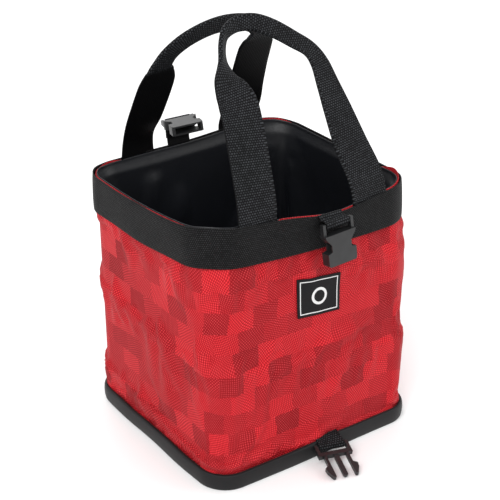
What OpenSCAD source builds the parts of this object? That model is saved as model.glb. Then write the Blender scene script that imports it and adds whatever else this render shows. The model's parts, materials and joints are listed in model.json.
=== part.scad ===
// Collapsible pop-up tote bag.
// Frame: +Z up, origin at the bottom centre of the object, the front with the label faces -Y.
// Every cloth tube is a ring round the same rounded-rectangle outline, grown outwards or inwards.
// The joint coordinates in the record hold for the default dimensions.

/* [Bag] */
// Width across the outer wall, left to right
bag_w = 222; // [210:1:240]
// Depth across the outer wall, front to back
bag_d = 206; // [200:1:225]
// Height from the floor to the top edge of the rim band
bag_h = 245; // [235:1:270]
// Radius of the upright corners
corner_r = 30; // [24:1:38]

/* [Cloth] */
// Thickness of the wall cloth and of the lining
cloth_t = 1; // [0.8:0.1:1.2]
// Thickness of one layer of webbing
web_t = 1.4; // [1:0.1:1.4]
// Height of the band round the rim
band_h = 34.5; // [30:0.5:38]
// Height of the binding round the foot
binding_h = 15; // [12:0.5:16]

/* [Handles] */
// Width of the handle webbing
handle_w = 38; // [30:1:40]
// Distance of each handle foot from the middle of the bag
foot_x = 58; // [54:1:62]
// Inward lean of the front handle, in degrees
front_lean = 29; // [20:1:32]
// Inward lean of the back handle, in degrees
back_lean = 30; // [20:1:32]

/* [Buckles] */
// Width of the tab webbing
tab_w = 25; // [22:1:25]
// Place of the front buckle along the front, from the middle
front_buckle_x = 12; // [0:1:14]
// Place of the back buckle along the back, from the middle
back_buckle_x = -7; // [-12:1:4]
// Width across a buckle half
buckle_w = 32.5; // [32.5:0.5:34]
// Thickness of the socket
socket_t = 9; // [9:0.5:9.5]

/* [Spring] */
// Diameter of the spring wire
wire_d = 2; // [1.6:0.1:2]
// Number of turns of the spring
turns = 2.5; // [2.5:1:4.5]

/* [Hidden] */

$fn = 64;
gap = 0.2;

// layers round the outline, as growth from the outer wall's outer face
lining_in = -5 * cloth_t;
lining_out = -4 * cloth_t;
wire_at = (lining_out - cloth_t) / 2;
hem_in = gap;
hem_out = 0.8;
web_in = 0.9;
web_out = web_in + web_t;
band_in = web_out + gap;
band_out = band_in + 1.2;
binding_out = 4.2;

// heights
board_z = 1.4;
board_t = 2.5;
floor_z = board_z + board_t + gap;
wall_top = bag_h - 0.5;
hem_top = bag_h + 1.3;
hem_h = 24;
end_h = 22;

// handles, in their own plane: [distance from the middle, distance from the hinge]
handle_z = bag_h + 4.5;
handle_end_z = bag_h + 2;
grip_w = handle_w / 2;
grip_t = 2 * web_t + 0.2;
grip_steps = 20;
front_shoulders = [[-49, 102], [42, 86]];
front_grip = [[-51, 130], [-52, 176], [-6, 172], [38, 122]];
back_shoulders = [[-56, 88], [47, 104]];
back_grip = [[-54.5, 106], [-52, 148], [28, 158], [46, 120]];

// webbing layer's middle, measured from the middle of the bag
web_y = bag_d / 2 + (web_in + web_out) / 2;

// socket tabs, in a frame that hangs from the tab's hinge: outwards is -Y, down is -Z
tab_hinge_z = bag_h + 1.8;
bar_r = 1.6;
loop_in = bar_r + 0.3;
loop_out = loop_in + web_t;
socket_bar = [0, -7, -16.8];
front_socket_shift = 2;
back_socket_shift = 0;
front_roll = 3;
front_pitch = 8;
back_tab_angle = 158;
back_pitch = 107;
back_yaw = 17;

// socket, hanging from its bar
socket_end = 2;
socket_l = 36;
rail_w = 2.9;
rail_t = 4.5;
slot_l = 8;
cavity_w = 25;
cavity_t = 6;
cavity_l = 26;
waist_w = 21;
waist_z = [17, 23];

// plug tabs and plugs, in a frame that lies outwards from the tab's hinge
plug_hinge_z = binding_h + 1.9;
plug_bar = [-2, -14.6, -6.4];
plug_yaw = 17;
plug_pitch = 12;
plug_back = 2;
shoulder_y = [8, 12.5];
guide_w = 4.4;
guide_t = 3;
prong_l = 38.2;
arm_x = 10.6;
arm_w = 2.6;
arm_t = 4;
arm_gap = 0.3;

// label
label_size = [45, 37];
label_t = 0.8;
label_at = [1.7, 161];
label_turn = 6;

// spring
spring_z = [9, 232];
corner_steps = 6;
wire_sides = 8;
cap_r = 1.35;
cap_l = 9;
cap_end = 1.5;
cap_play = 0.05;

// ---- shared shapes ----

// Rounded rectangle round the outer wall, grown by a distance
module outline(grow) {
    w = bag_w + 2 * grow;
    d = bag_d + 2 * grow;
    r = corner_r + grow;
    square([w, d - 2 * r], center = true);
    square([w - 2 * r, d], center = true);
    for (x = [-1, 1], y = [-1, 1])
        translate([x * (w / 2 - r), y * (d / 2 - r)]) circle(r);
}

module slab(grow, z, t) {
    translate([0, 0, z]) linear_extrude(t) outline(grow);
}

module ring(inner, outer, z, h) {
    translate([0, 0, z]) linear_extrude(h) difference() {
        outline(outer);
        outline(inner);
    }
}

// Cylinder along X, centred on the origin
module rod(r, l) {
    rotate([0, 90, 0]) cylinder(r = r, h = l, center = true);
}

// Box centred in X, with its Y and Z ranges given
module strip(w, y, z) {
    translate([-w / 2, y[0], z[0]]) cube([w, y[1] - y[0], z[1] - z[0]]);
}

// Sewn end of a length of webbing, in the webbing layer of the front or the back
module sewn_end(x, side, w, z, h) {
    translate([x - w / 2, side * web_y - web_t / 2, z]) cube([w, web_t, h]);
}

// ---- base ----

module base_panel() {
    color("#1b1b1d") slab(0, 0, cloth_t);
}

module base_board() {
    color("#3a3a3a") slab(lining_in - gap, board_z, board_t);
}

module floor_lining() {
    color("#15171b") slab(lining_in - gap, floor_z, cloth_t);
}

module base_binding() {
    color("#222222") difference() {
        ring(gap, binding_out, 0, binding_h);
        for (side = [-1, 1]) {
            x = side < 0 ? front_buckle_x : back_buckle_x;
            translate([x - tab_w / 2 - gap, side * web_y - web_t / 2 - gap / 2, end_low()])
                cube([tab_w + 2 * gap, web_t + gap, binding_h]);
        }
    }
}

function end_low() = binding_h - 11;

module outer_wall() {
    color("#c4262e") ring(-cloth_t, 0, board_z, wall_top - board_z);
}

module wall_lining() {
    color("#15171b") ring(lining_in, lining_out, board_z, wall_top - board_z);
}

module label_patch() {
    color("#101010")
        translate([label_at[0], -bag_d / 2 - gap / 2, label_at[1]])
        rotate([90, label_turn, 0])
        translate([-label_size[0] / 2, -label_size[1] / 2, 0])
        cube([label_size[0], label_size[1], label_t]);
}

module plug_tab_ends() {
    color("#222222") {
        sewn_end(front_buckle_x, -1, tab_w, end_low() + gap, binding_h - end_low() - gap);
        sewn_end(back_buckle_x, 1, tab_w, end_low() + gap, binding_h - end_low() - gap);
    }
}

// ---- spring ----

wire_hx = bag_w / 2 + wire_at;
wire_hy = bag_d / 2 + wire_at;
wire_corner = corner_r + wire_at;

// Places round one turn: [position, outward direction]. It is laid out from the middle of the back
// and then turned half way round, so that the wire starts in the middle of the front.
turn = [
    for (c = [[1, 1, 90, 0], [1, -1, 0, -90], [-1, -1, -90, -180], [-1, 1, 180, 90]])
        for (i = [0 : corner_steps])
            let (
                a = c[2] + (c[3] - c[2]) * i / corner_steps,
                out = [cos(a), sin(a)],
                centre = [c[0] * (wire_hx - wire_corner), c[1] * (wire_hy - wire_corner)]
            )
            [centre + wire_corner * out, out]
];
per_turn = len(turn);

// The whole plan route: half turns begin and end in the middle of the back or the front
start = [[0, wire_hy], [0, 1]];
finish = turns * 2 % 2 == 0 ? start : [[0, -wire_hy], [0, -1]];
route = concat(
    [start],
    [for (i = [0 : turns * per_turn - 1]) turn[i % per_turn]],
    [finish]
);

// Length of the plan route up to each point
function lengths(i, sum) =
    i == len(route) ? [] :
    let (s = i == 0 ? 0 : sum + norm(route[i][0] - route[i - 1][0]))
    concat([s], lengths(i + 1, s));
route_s = lengths(0, 0);
route_l = route_s[len(route) - 1];
climb = (spring_z[1] - spring_z[0]) / route_l;

function wire_ring(i) =
    let (p = route[i][0], out = route[i][1], z = spring_z[0] + climb * route_s[i])
    [for (k = [0 : wire_sides - 1])
        let (a = 360 * k / wire_sides)
        [p[0] + out[0] * cos(a) * wire_d / 2, p[1] + out[1] * cos(a) * wire_d / 2,
         z + sin(a) * wire_d / 2]];

module pop_up_spring() {
    n = len(route);
    m = wire_sides;
    points = [for (i = [0 : n - 1]) each wire_ring(i)];
    sides = [for (i = [0 : n - 2], k = [0 : m - 1])
        [i * m + k, i * m + (k + 1) % m, (i + 1) * m + (k + 1) % m, (i + 1) * m + k]];
    ends = [[for (k = [m - 1 : -1 : 0]) k], [for (k = [0 : m - 1]) (n - 1) * m + k]];
    color("#9a9a9a") rotate([0, 0, 180]) polyhedron(points, concat(sides, ends), convexity = 8);
}

// Cap on a wire end. It is open towards +X and closed towards -X.
module wire_cap() {
    difference() {
        translate([cap_l / 2 - cap_end, 0, 0]) rod(cap_r, cap_l);
        translate([cap_l / 2 - gap / 2, 0, 0]) rod(wire_d / 2 + cap_play, cap_l);
    }
}

module spring_end_caps() {
    slope = atan(climb);
    color("#202020") rotate([0, 0, 180]) {
        translate([0, wire_hy, spring_z[0]]) rotate([0, -slope, 0]) wire_cap();
        translate([0, finish[0][1], spring_z[1]])
            rotate([0, slope, 0])
            mirror([finish[1][1] > 0 ? 1 : 0, 0, 0])
            wire_cap();
    }
}

// ---- rim ----

module rim_band() {
    color("#2b2b2b") ring(band_in, band_out, bag_h - band_h, band_h);
}

module rim_hem() {
    color("#c4262e") ring(hem_in, hem_out, hem_top - hem_h, hem_h);
}

module handle_ends(side) {
    for (x = [-foot_x, foot_x])
        sewn_end(x, side, handle_w, bag_h - end_h, handle_end_z - bag_h + end_h);
}

module front_handle_ends() {
    color("#2b2b2b") handle_ends(-1);
}

module back_handle_ends() {
    color("#2b2b2b") handle_ends(1);
}

module socket_tab_ends() {
    color("#2b2b2b") {
        sewn_end(front_buckle_x, -1, tab_w, bag_h - end_h, end_h);
        sewn_end(back_buckle_x, 1, tab_w, bag_h - end_h, end_h);
    }
}

// ---- handles ----

function bezier(p, t) =
    pow(1 - t, 3) * p[0] + 3 * t * pow(1 - t, 2) * p[1]
    + 3 * t * t * (1 - t) * p[2] + pow(t, 3) * p[3];

function bezier_left(p, t) =
    let (
        d = 3 * pow(1 - t, 2) * (p[1] - p[0]) + 6 * t * (1 - t) * (p[2] - p[1])
            + 3 * t * t * (p[3] - p[2])
    )
    [-d[1], d[0]] / norm(d);

// Edge of the grip, offset from its centre line
function grip_edge(p, off) =
    [for (i = [0 : grip_steps]) let (t = i / grip_steps) bezier(p, t) + off * bezier_left(p, t)];

// One leg, narrowing above its shoulder to a round end under the grip
module leg(foot, shoulder, top) {
    polygon([
        foot + [-handle_w / 2, 0],
        foot + [handle_w / 2, 0],
        shoulder + [handle_w / 2, 0],
        top + [grip_w / 2, 0],
        top + [-grip_w / 2, 0],
        shoulder + [-handle_w / 2, 0],
    ]);
    translate(top) circle(grip_w / 2 - gap);
}

// Handle standing upright over its hinge line, its legs of one layer and its grip of two
module handle(shoulders, grip) {
    far = grip_edge(grip, grip_w / 2);
    near = grip_edge(grip, -grip_w / 2);
    rotate([90, 0, 0]) {
        translate([0, 0, -web_t / 2]) linear_extrude(web_t) {
            leg([-foot_x, 0], shoulders[0], grip[0]);
            leg([foot_x, 0], shoulders[1], grip[3]);
        }
        translate([0, 0, -grip_t / 2]) linear_extrude(grip_t)
            polygon(concat(far, [for (i = [grip_steps : -1 : 0]) near[i]]));
    }
}

module front_handle() {
    color("#2b2b2b")
        translate([0, -web_y, handle_z]) rotate([-front_lean, 0, 0])
        handle(front_shoulders, front_grip);
}

module back_handle() {
    color("#2b2b2b")
        translate([0, web_y, handle_z]) rotate([back_lean, 0, 0])
        handle(back_shoulders, back_grip);
}

// ---- sockets ----

// Place of the socket's bar on its tab, slid sideways and turned
module at_socket(shift, turned) {
    translate(socket_bar + [shift, 0, 0]) rotate(turned) children();
}

// Tab that hangs over the rim band, with a loop at its end for the socket's bar
module socket_tab(shift, turned) {
    difference() {
        union() {
            strip(tab_w, [-3.6, -0.4], [-1.5, -0.1]);
            hull() {
                strip(tab_w, [-4.4, -2.3], [-3, -0.1]);
                at_socket(shift, turned) rod(loop_out, tab_w, $fn = 32);
            }
        }
        at_socket(shift, turned) rod(loop_in, 2 * tab_w);
    }
}

// Female half of the buckle, hanging from its bar, with its mouth at the bottom
module socket() {
    rail_x = buckle_w / 2 - rail_w;
    rod(bar_r, 2 * rail_x + 0.5);
    for (x = [rail_x, -rail_x - rail_w])
        translate([x, -rail_t / 2, -slot_l - 1]) cube([rail_w, rail_t, slot_l + 1 + socket_end]);
    difference() {
        translate([0, socket_t / 2, 0]) rotate([90, 0, 0]) linear_extrude(socket_t)
            polygon(concat(socket_half(1), socket_half(-1)));
        strip(cavity_w, [-cavity_t / 2, cavity_t / 2], [-socket_l - 1, cavity_l - socket_l]);
    }
}

// One side of the socket's outline, from the slot down to the mouth, or back up
function socket_half(side) =
    let (
        half = buckle_w / 2,
        pts = [
            [half, -slot_l], [half - 0.6, -slot_l - 2.5], [waist_w / 2, -waist_z[0]],
            [waist_w / 2, -waist_z[1]], [half - 1, -waist_z[1] - 1.2],
            [half - 1.2, -socket_l + 1.5], [half - 2.7, -socket_l],
        ]
    )
    side > 0 ? pts : [for (i = [len(pts) - 1 : -1 : 0]) [-pts[i][0], pts[i][1]]];

// Frame of the front or the back tab hinge
module at_rim(side, x) {
    translate([x, side * web_y, tab_hinge_z]) mirror([0, side > 0 ? 1 : 0, 0]) children();
}

module front_socket_tab() {
    color("#2b2b2b")
        at_rim(-1, front_buckle_x) socket_tab(front_socket_shift, [0, -front_roll, 0]);
}

module front_socket() {
    color("#3c3e40")
        at_rim(-1, front_buckle_x) at_socket(front_socket_shift, [0, -front_roll, 0])
        rotate([-front_pitch, 0, 0]) socket();
}

module back_socket_tab() {
    color("#2b2b2b")
        at_rim(1, back_buckle_x) rotate([-back_tab_angle, 0, 0])
        socket_tab(-back_socket_shift, [0, 0, -back_yaw]);
}

module back_socket() {
    color("#3c3e40")
        at_rim(1, back_buckle_x) rotate([-back_tab_angle, 0, 0])
        at_socket(-back_socket_shift, [0, 0, -back_yaw]) rotate([-back_pitch, 0, 0]) socket();
}

// ---- plugs ----

module at_foot(side, x) {
    translate([x, side * web_y, plug_hinge_z]) mirror([0, side > 0 ? 1 : 0, 0]) children();
}

// Tab that lies over the binding and slopes down outwards, with a loop for the plug's bar
module plug_tab() {
    difference() {
        union() {
            strip(tab_w, [-5.4, -0.4], [-1.6, -0.2]);
            hull() {
                strip(tab_w, [-5.4, -3.6], [-2.2, -0.2]);
                translate(plug_bar) rotate([0, 0, -plug_yaw]) rod(loop_out, tab_w, $fn = 32);
            }
        }
        translate(plug_bar) rotate([0, 0, -plug_yaw]) rod(loop_in, 2 * tab_w);
    }
}

module at_plug() {
    translate(plug_bar) rotate([0, 0, -plug_yaw]) rotate([plug_pitch, 0, 0]) children();
}

// Frame, bar and centre guide of the male half. It points to -Y from its bar, with its tip down.
module plug() {
    rail_x = buckle_w / 2 - rail_w;
    rod(bar_r, 2 * rail_x + 0.5);
    for (x = [rail_x, -rail_x - rail_w])
        translate([x, -shoulder_y[0] - 1, -rail_t / 2])
            cube([rail_w, shoulder_y[0] + 1 + plug_back, rail_t]);
    strip(buckle_w, [-shoulder_y[1], -shoulder_y[0]], [-rail_t / 2, rail_t / 2]);
    strip(guide_w, [-prong_l + guide_w / 2, -shoulder_y[1] + 1], [-guide_t / 2, guide_t / 2]);
    translate([0, -prong_l + guide_w / 2, -guide_t / 2]) cylinder(d = guide_w, h = guide_t);
}

// Springy arm with its barb, on the right of the plug
module plug_arm() {
    inner = arm_x - arm_w / 2;
    outer = arm_x + arm_w / 2;
    root = shoulder_y[1] + arm_gap;
    translate([0, 0, -arm_t / 2]) linear_extrude(arm_t)
        polygon([
            [inner, -root], [outer, -root], [outer, -24], [15.6, -26.5], [15, -31],
            [11.8, -prong_l], [inner + 0.4, -prong_l], [inner, -prong_l + 1],
        ]);
}

module front_plug_tab() {
    color("#2b2b2b") at_foot(-1, front_buckle_x) plug_tab();
}

module front_plug() {
    color("#3c3e40") at_foot(-1, front_buckle_x) at_plug() plug();
}

module front_plug_left_arm() {
    color("#3c3e40") at_foot(-1, front_buckle_x) at_plug() mirror([1, 0, 0]) plug_arm();
}

module front_plug_right_arm() {
    color("#3c3e40") at_foot(-1, front_buckle_x) at_plug() plug_arm();
}

module back_plug_tab() {
    color("#2b2b2b") at_foot(1, back_buckle_x) plug_tab();
}

module back_plug() {
    color("#3c3e40") at_foot(1, back_buckle_x) at_plug() plug();
}

module back_plug_left_arm() {
    color("#3c3e40") at_foot(1, back_buckle_x) at_plug() mirror([1, 0, 0]) plug_arm();
}

module back_plug_right_arm() {
    color("#3c3e40") at_foot(1, back_buckle_x) at_plug() plug_arm();
}

base_panel();
base_board();
floor_lining();
base_binding();
outer_wall();
wall_lining();
pop_up_spring();
spring_end_caps();
label_patch();
plug_tab_ends();
rim_band();
rim_hem();
front_handle_ends();
back_handle_ends();
socket_tab_ends();
front_handle();
back_handle();
front_socket_tab();
front_socket();
back_socket_tab();
back_socket();
front_plug_tab();
front_plug();
front_plug_left_arm();
front_plug_right_arm();
back_plug_tab();
back_plug();
back_plug_left_arm();
back_plug_right_arm();
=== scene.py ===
"""Collapsible pop-up tote bag: the visual model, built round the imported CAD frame.

Units are metres, in the frame's own axes: +Z is up and the front faces -Y.
Cloth tubes are grids: columns run round the bag from the middle of the back, by way of the
left side, and rows run up it.
"""
import json
import math

import bpy
import numpy as np
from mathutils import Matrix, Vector


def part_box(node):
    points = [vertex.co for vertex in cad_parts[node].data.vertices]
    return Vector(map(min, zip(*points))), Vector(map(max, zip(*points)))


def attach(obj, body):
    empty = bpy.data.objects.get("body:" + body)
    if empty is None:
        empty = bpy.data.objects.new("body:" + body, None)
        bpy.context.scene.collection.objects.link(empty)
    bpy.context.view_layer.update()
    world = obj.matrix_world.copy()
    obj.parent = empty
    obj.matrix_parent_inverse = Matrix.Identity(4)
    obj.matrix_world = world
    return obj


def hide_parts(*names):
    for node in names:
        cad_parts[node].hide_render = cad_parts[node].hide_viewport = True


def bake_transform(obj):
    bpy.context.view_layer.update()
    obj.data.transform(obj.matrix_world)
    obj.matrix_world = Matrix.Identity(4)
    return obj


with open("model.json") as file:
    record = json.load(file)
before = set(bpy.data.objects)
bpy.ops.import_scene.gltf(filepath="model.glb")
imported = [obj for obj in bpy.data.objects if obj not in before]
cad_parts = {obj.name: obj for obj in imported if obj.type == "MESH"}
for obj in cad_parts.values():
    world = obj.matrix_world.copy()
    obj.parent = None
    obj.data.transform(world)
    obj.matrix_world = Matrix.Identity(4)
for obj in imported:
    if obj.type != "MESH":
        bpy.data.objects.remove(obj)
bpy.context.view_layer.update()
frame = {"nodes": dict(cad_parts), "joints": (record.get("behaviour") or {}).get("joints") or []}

MM = 0.001


def heights_of(node):
    """The lowest and the highest z of a CAD node."""
    low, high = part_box(node)
    return low[2], high[2]


def hump(x, centre, width):
    """1 at centre, falling smoothly to almost nothing two widths away."""
    return np.exp(-(((x - centre) / width) ** 2))


def share_of(x, start, length):
    """0 up to start, then rising evenly to 1 over length."""
    return np.clip((x - start) / length, 0, 1)


def smoothed(t):
    return t * t * (3 - 2 * t)


def place_of(joint):
    return np.array(JOINTS[joint]["pos_m"])


def unit(rows):
    """Each row scaled to length 1."""
    return rows / np.linalg.norm(rows, axis=1)[:, None]


def lengths_along(path):
    """Length along an open path up to each point."""
    return np.r_[0, np.cumsum(np.linalg.norm(np.diff(path, axis=0), axis=1))]


# ---- sizes from the frame

BAND_LOW, BAND_TOP = heights_of("rim_band")
BINDING_TOP = heights_of("base_binding")[1]
FLOOR_LOW, FLOOR_TOP = heights_of("floor_lining")
WALL_LOW, WALL_TOP = heights_of("outer_wall")
SPRING_LOW, SPRING_HIGH = heights_of("pop_up_spring")
JOINTS = {j["name"]: j for j in frame["joints"]}
SPRING_TURNS = 2.5

# plan of the bag's outside at the rim and at the foot, as the cloth hangs in use
RIM = dict(width=226 * MM, depth=204.6 * MM, radius=33.5 * MM, bow=(5.3 * MM, 2.8 * MM), at=(0, 0))
FOOT = dict(width=229.5 * MM, depth=218.5 * MM, radius=27.6 * MM, bow=(0, 0), at=(3.6 * MM, -3.5 * MM))
RIM_DIP = 3.8 * MM
RIM_TWIST = 2.9 * MM
RIM_TOP = BAND_TOP + 1 * MM

# each layer: how far its middle or outer face is outside the plan outline, and its thickness
BAND_T = 1.3 * MM
WEB_GROW = -2.1 * MM
HEM_GROW, HEM_T, HEM_DEPTH = -3.5 * MM, 0.6 * MM, 22 * MM
WALL_GROW, WALL_T = -4 * MM, 0.7 * MM
LINING_GROW, LINING_T = -8.6 * MM, 0.5 * MM
FLOOR_GROW, FLOOR_T = -10 * MM, 0.6 * MM
PANEL_GROW, PANEL_T = -3.5 * MM, 0.9 * MM

HANDLE_W = 38.5 * MM
TAB_W, TAB_T = 25 * MM, 1.3 * MM
LABEL_W, LABEL_H, LABEL_Z = 45 * MM, 37 * MM, 163 * MM
WIRE_R = 1 * MM

# ---- plan outlines

CORNER_COLS = 14
FRONT_COLS = 46
SIDE_COLS = 40


def outline(plan, grow=0.0):
    """Closed plan curve, anticlockwise from the middle of the back: (points, outward normals)."""
    w = plan["width"] + 2 * grow
    d = plan["depth"] + 2 * grow
    r = plan["radius"] + grow
    hx, hy = w / 2, d / 2
    corners = [(-1, 1, 90), (-1, -1, 180), (1, -1, 270), (1, 1, 0)]
    straight = [FRONT_COLS // 2, SIDE_COLS, FRONT_COLS, SIDE_COLS, FRONT_COLS // 2]
    pts = []
    last = np.array([0.0, hy])
    for (sx, sy, a0), count in zip(corners, straight):
        centre = np.array([sx * (hx - r), sy * (hy - r)])
        angles = np.radians(a0 + 90 * np.arange(CORNER_COLS + 1) / CORNER_COLS)
        arc = centre + r * np.c_[np.cos(angles), np.sin(angles)]
        pts += [last + (arc[0] - last) * k / count for k in range(count)]
        pts += list(arc[:-1])
        last = arc[-1]
    pts += [last + (np.array([0.0, hy]) - last) * k / straight[-1] for k in range(straight[-1])]
    pts = np.array(pts)
    x, y = pts[:, 0].copy(), pts[:, 1].copy()
    bx, by = plan["bow"]
    edge_y = np.clip(abs(y) / hy, 0, 1)
    edge_x = np.clip(abs(x) / hx, 0, 1)
    pts[:, 1] = y + by * np.sign(y) * (1 - (x / hx) ** 2).clip(0) * edge_y
    pts[:, 0] = x + bx * np.sign(x) * (1 - (y / hy) ** 2).clip(0) * edge_x
    along = np.roll(pts, -1, 0) - np.roll(pts, 1, 0)
    return pts + np.array(plan["at"]), unit(np.c_[along[:, 1], -along[:, 0]])


COLS = len(outline(RIM)[0])


def rim_height(pts):
    """How far the rim's edge is above its nominal height: it dips mid side and twists like a saddle."""
    x = pts[:, 0] / (RIM["width"] / 2)
    y = pts[:, 1] / (RIM["depth"] / 2)
    mid = np.maximum((1 - x**2) * abs(y).clip(0, 1) ** 4, (1 - y**2) * abs(x).clip(0, 1) ** 4)
    back = y.clip(0, 1) ** 4
    local = 2.6 * MM * (hump(x, 0.6, 0.35) * back) - 2.4 * MM * (hump(x, -0.9, 0.35) * back)
    return RIM_TWIST * np.clip(x * y, -1, 1) - RIM_DIP * mid.clip(0) + local


def arc_length(points):
    """Length along a closed curve up to each point, with the whole length last."""
    step = np.linalg.norm(np.roll(points, -1, 0) - points, axis=1)
    return np.r_[0, np.cumsum(step)]


RIM_PTS, RIM_NORMAL = outline(RIM)
# the back left corner is pulled out a little
CORNER = np.array([-RIM["width"], RIM["depth"]]) / 2
PULL = 2.0 * MM * hump(np.linalg.norm(RIM_PTS - CORNER, axis=1), 0, 38 * MM)
RIM_PTS = RIM_PTS + RIM_NORMAL * PULL[:, None]
FOOT_PTS, FOOT_NORMAL = outline(FOOT)
RIM_S = arc_length(RIM_PTS)
GIRTH = RIM_S[-1]


def loft(grow, z, rim_follow=None):
    """One ring of the wall at nominal height z, grown outwards: (points, outward normals in plan)."""
    t = share_of(z, WALL_LOW, RIM_TOP - WALL_LOW)
    follow = t**3 if rim_follow is None else rim_follow
    plan = FOOT_PTS * (1 - t) + RIM_PTS * t
    normal = unit(FOOT_NORMAL * (1 - t) + RIM_NORMAL * t)
    plan = plan + normal * grow
    # the top edge sags between the middle of the front and the right leg of the front handle
    edge = share_of(z, BAND_LOW, RIM_TOP - BAND_LOW) ** 2
    sag = hump(RIM_PTS[:, 0], 20 * MM, 40 * MM) * (RIM_PTS[:, 1] < 0)
    height = z + follow * rim_height(RIM_PTS) - 7 * MM * edge * sag
    return np.c_[plan, height], np.c_[normal, np.zeros(len(normal))]


def rows_between(low, high, step):
    count = max(2, int(round((high - low) / step)) + 1)
    return np.linspace(low, high, count)


# ---- meshes


def add_object(name, data):
    obj = bpy.data.objects.new(name, data)
    bpy.context.scene.collection.objects.link(obj)
    return obj


def new_object(name, verts, faces, uvs=None):
    """Mesh object from arrays. uvs holds one (u, v) in metres for each face corner."""
    mesh = bpy.data.meshes.new(name)
    mesh.from_pydata([tuple(v) for v in verts], [], [tuple(int(i) for i in f) for f in faces])
    if uvs is not None:
        layer = mesh.uv_layers.new(name="cloth")
        layer.data.foreach_set("uv", np.array(uvs, np.float32).ravel())
    mesh.polygons.foreach_set("use_smooth", [True] * len(mesh.polygons))
    mesh.update()
    return add_object(name, mesh)


def ring_faces(rows, cols, wrap=False):
    """Faces of a grid that closes along its columns and, with wrap, along its rows."""
    faces = []
    for r in range(rows if wrap else rows - 1):
        low, high = r * cols, (r + 1) % rows * cols
        for c in range(cols):
            n = (c + 1) % cols
            faces.append((low + c, low + n, high + n, high + c))
    return faces


def cell_uvs(u, v, i):
    """The corners of face i of such a grid. u and v each have one more entry than the cells."""
    r, c = divmod(i, len(u) - 1)
    return [(u[c], v[r]), (u[c + 1], v[r]), (u[c + 1], v[r + 1]), (u[c], v[r + 1])]


def tube_shell(name, grid, thickness, v):
    """Closed tube wall, half its thickness on each side of a grid. v is the height of each row."""
    half = grid_normals(grid) * thickness / 2
    verts = np.concatenate([(grid + half).reshape(-1, 3), (grid - half).reshape(-1, 3)])
    rows, cols = grid.shape[:2]
    u = RIM_S
    faces, uvs = [], []
    base = rows * cols
    for i, (a, b, e, d) in enumerate(ring_faces(rows, cols)):
        faces += [(a, b, e, d), (base + b, base + a, base + d, base + e)]
        cell = cell_uvs(u, v, i)
        uvs += cell + [cell[k] for k in (1, 0, 3, 2)]
    for r, flip in ((0, True), (rows - 1, False)):
        for c in range(cols):
            n = (c + 1) % cols
            ring = [r * cols + c, r * cols + n, base + r * cols + n, base + r * cols + c]
            corner = [(u[c], v[r]), (u[c + 1], v[r]), (u[c + 1], v[r]), (u[c], v[r])]
            faces.append(ring[::-1] if flip else ring)
            uvs += corner[::-1] if flip else corner
    return new_object(name, verts, faces, uvs)


def grid_normals(grid):
    """Unit normals of a grid closed along its columns, pointing outwards."""
    along = np.roll(grid, -1, 1) - np.roll(grid, 1, 1)
    up = np.gradient(grid, axis=0)
    n = np.cross(along, up)
    return n / np.maximum(np.linalg.norm(n, axis=2), 1e-12)[:, :, None]


def sweep(name, sections, u, v):
    """Solid from cross-sections (stations, ring points, 3), closed at both ends.

    u is given for each ring point, and v for each station.
    """
    n, m = sections.shape[:2]
    u = np.broadcast_to(u, (n, m + 1))
    verts = sections.reshape(-1, 3)
    faces, uvs = ring_faces(n, m), []
    for i in range(n - 1):
        for k in range(m):
            uvs += [(u[i + a, k + b], v[i + a]) for a, b in ((0, 0), (0, 1), (1, 1), (1, 0))]
    faces.append(tuple(range(m))[::-1])
    uvs += [(u[0, k], v[0]) for k in range(m)][::-1]
    faces.append(tuple((n - 1) * m + k for k in range(m)))
    uvs += [(u[-1, k], v[-1]) for k in range(m)]
    return new_object(name, verts, faces, uvs)


def smooth_path(points, per_span=8):
    """Catmull-Rom curve through the points."""
    p = np.array(points, float)
    p = np.r_[[2 * p[0] - p[1]], p, [2 * p[-1] - p[-2]]]
    out = []
    for i in range(1, len(p) - 2):
        for k in range(per_span):
            t = k / per_span
            a = 2 * p[i]
            b = p[i + 1] - p[i - 1]
            c = 2 * p[i - 1] - 5 * p[i] + 4 * p[i + 1] - p[i + 2]
            d = -p[i - 1] + 3 * p[i] - 3 * p[i + 1] + p[i + 2]
            out.append(0.5 * (a + b * t + c * t * t + d * t**3))
    out.append(p[-2])
    return np.array(out)


def tape_section(width, thickness, across):
    """Flat tape cross-section with rounded edges: points (side, height) and u along its face."""
    half, r = width / 2, thickness / 2
    xs = np.linspace(-(half - r), half - r, across)
    top = [(x, r) for x in xs]
    right = [(half - r + r * math.sin(a), r * math.cos(a)) for a in np.radians([45, 90, 135])]
    bottom = [(x, -r) for x in xs[::-1]]
    left = [(-(half - r) - r * math.sin(a), -r * math.cos(a)) for a in np.radians([45, 90, 135])]
    return np.array(top + right + bottom + left)


def tape(name, path, side, face, width, thickness, across):
    """Webbing along a path. side points across the tape at each station, face out of its front.

    width and thickness are single values or one for each station. across counts its points.
    """
    n = len(path)
    width = np.broadcast_to(width, n)
    thickness = np.broadcast_to(thickness, n)
    side = unit(side)
    face = unit(face - side * (face * side).sum(1)[:, None])
    secs = np.array([tape_section(w, t, across) for w, t in zip(width, thickness)])
    rings = path[:, None] + secs[:, :, :1] * side[:, None] + secs[:, :, 1:] * face[:, None]
    u = np.c_[secs[:, :, 0], secs[:, :1, 0]]
    # 1 where the weave shows and 0 on the inner side of a single layer, which gets painted shade: plain
    # dark, without the painted highlight on its weave
    woven = np.ones((n, rings.shape[1]))
    woven[:, across + 1 :] = np.clip((thickness - 1.9 * MM) / (1.5 * MM), 0, 1)[:, None]
    v = lengths_along(path)
    if np.dot(np.cross(face[0], side[0]), path[1] - path[0]) > 0:
        rings, u, woven = rings[:, ::-1], u[:, ::-1], woven[:, ::-1]
    obj = sweep(name, rings, u, v)
    layer = obj.data.attributes.new("woven", "FLOAT", "POINT")
    layer.data.foreach_set("value", woven.ravel())
    return obj


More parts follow.
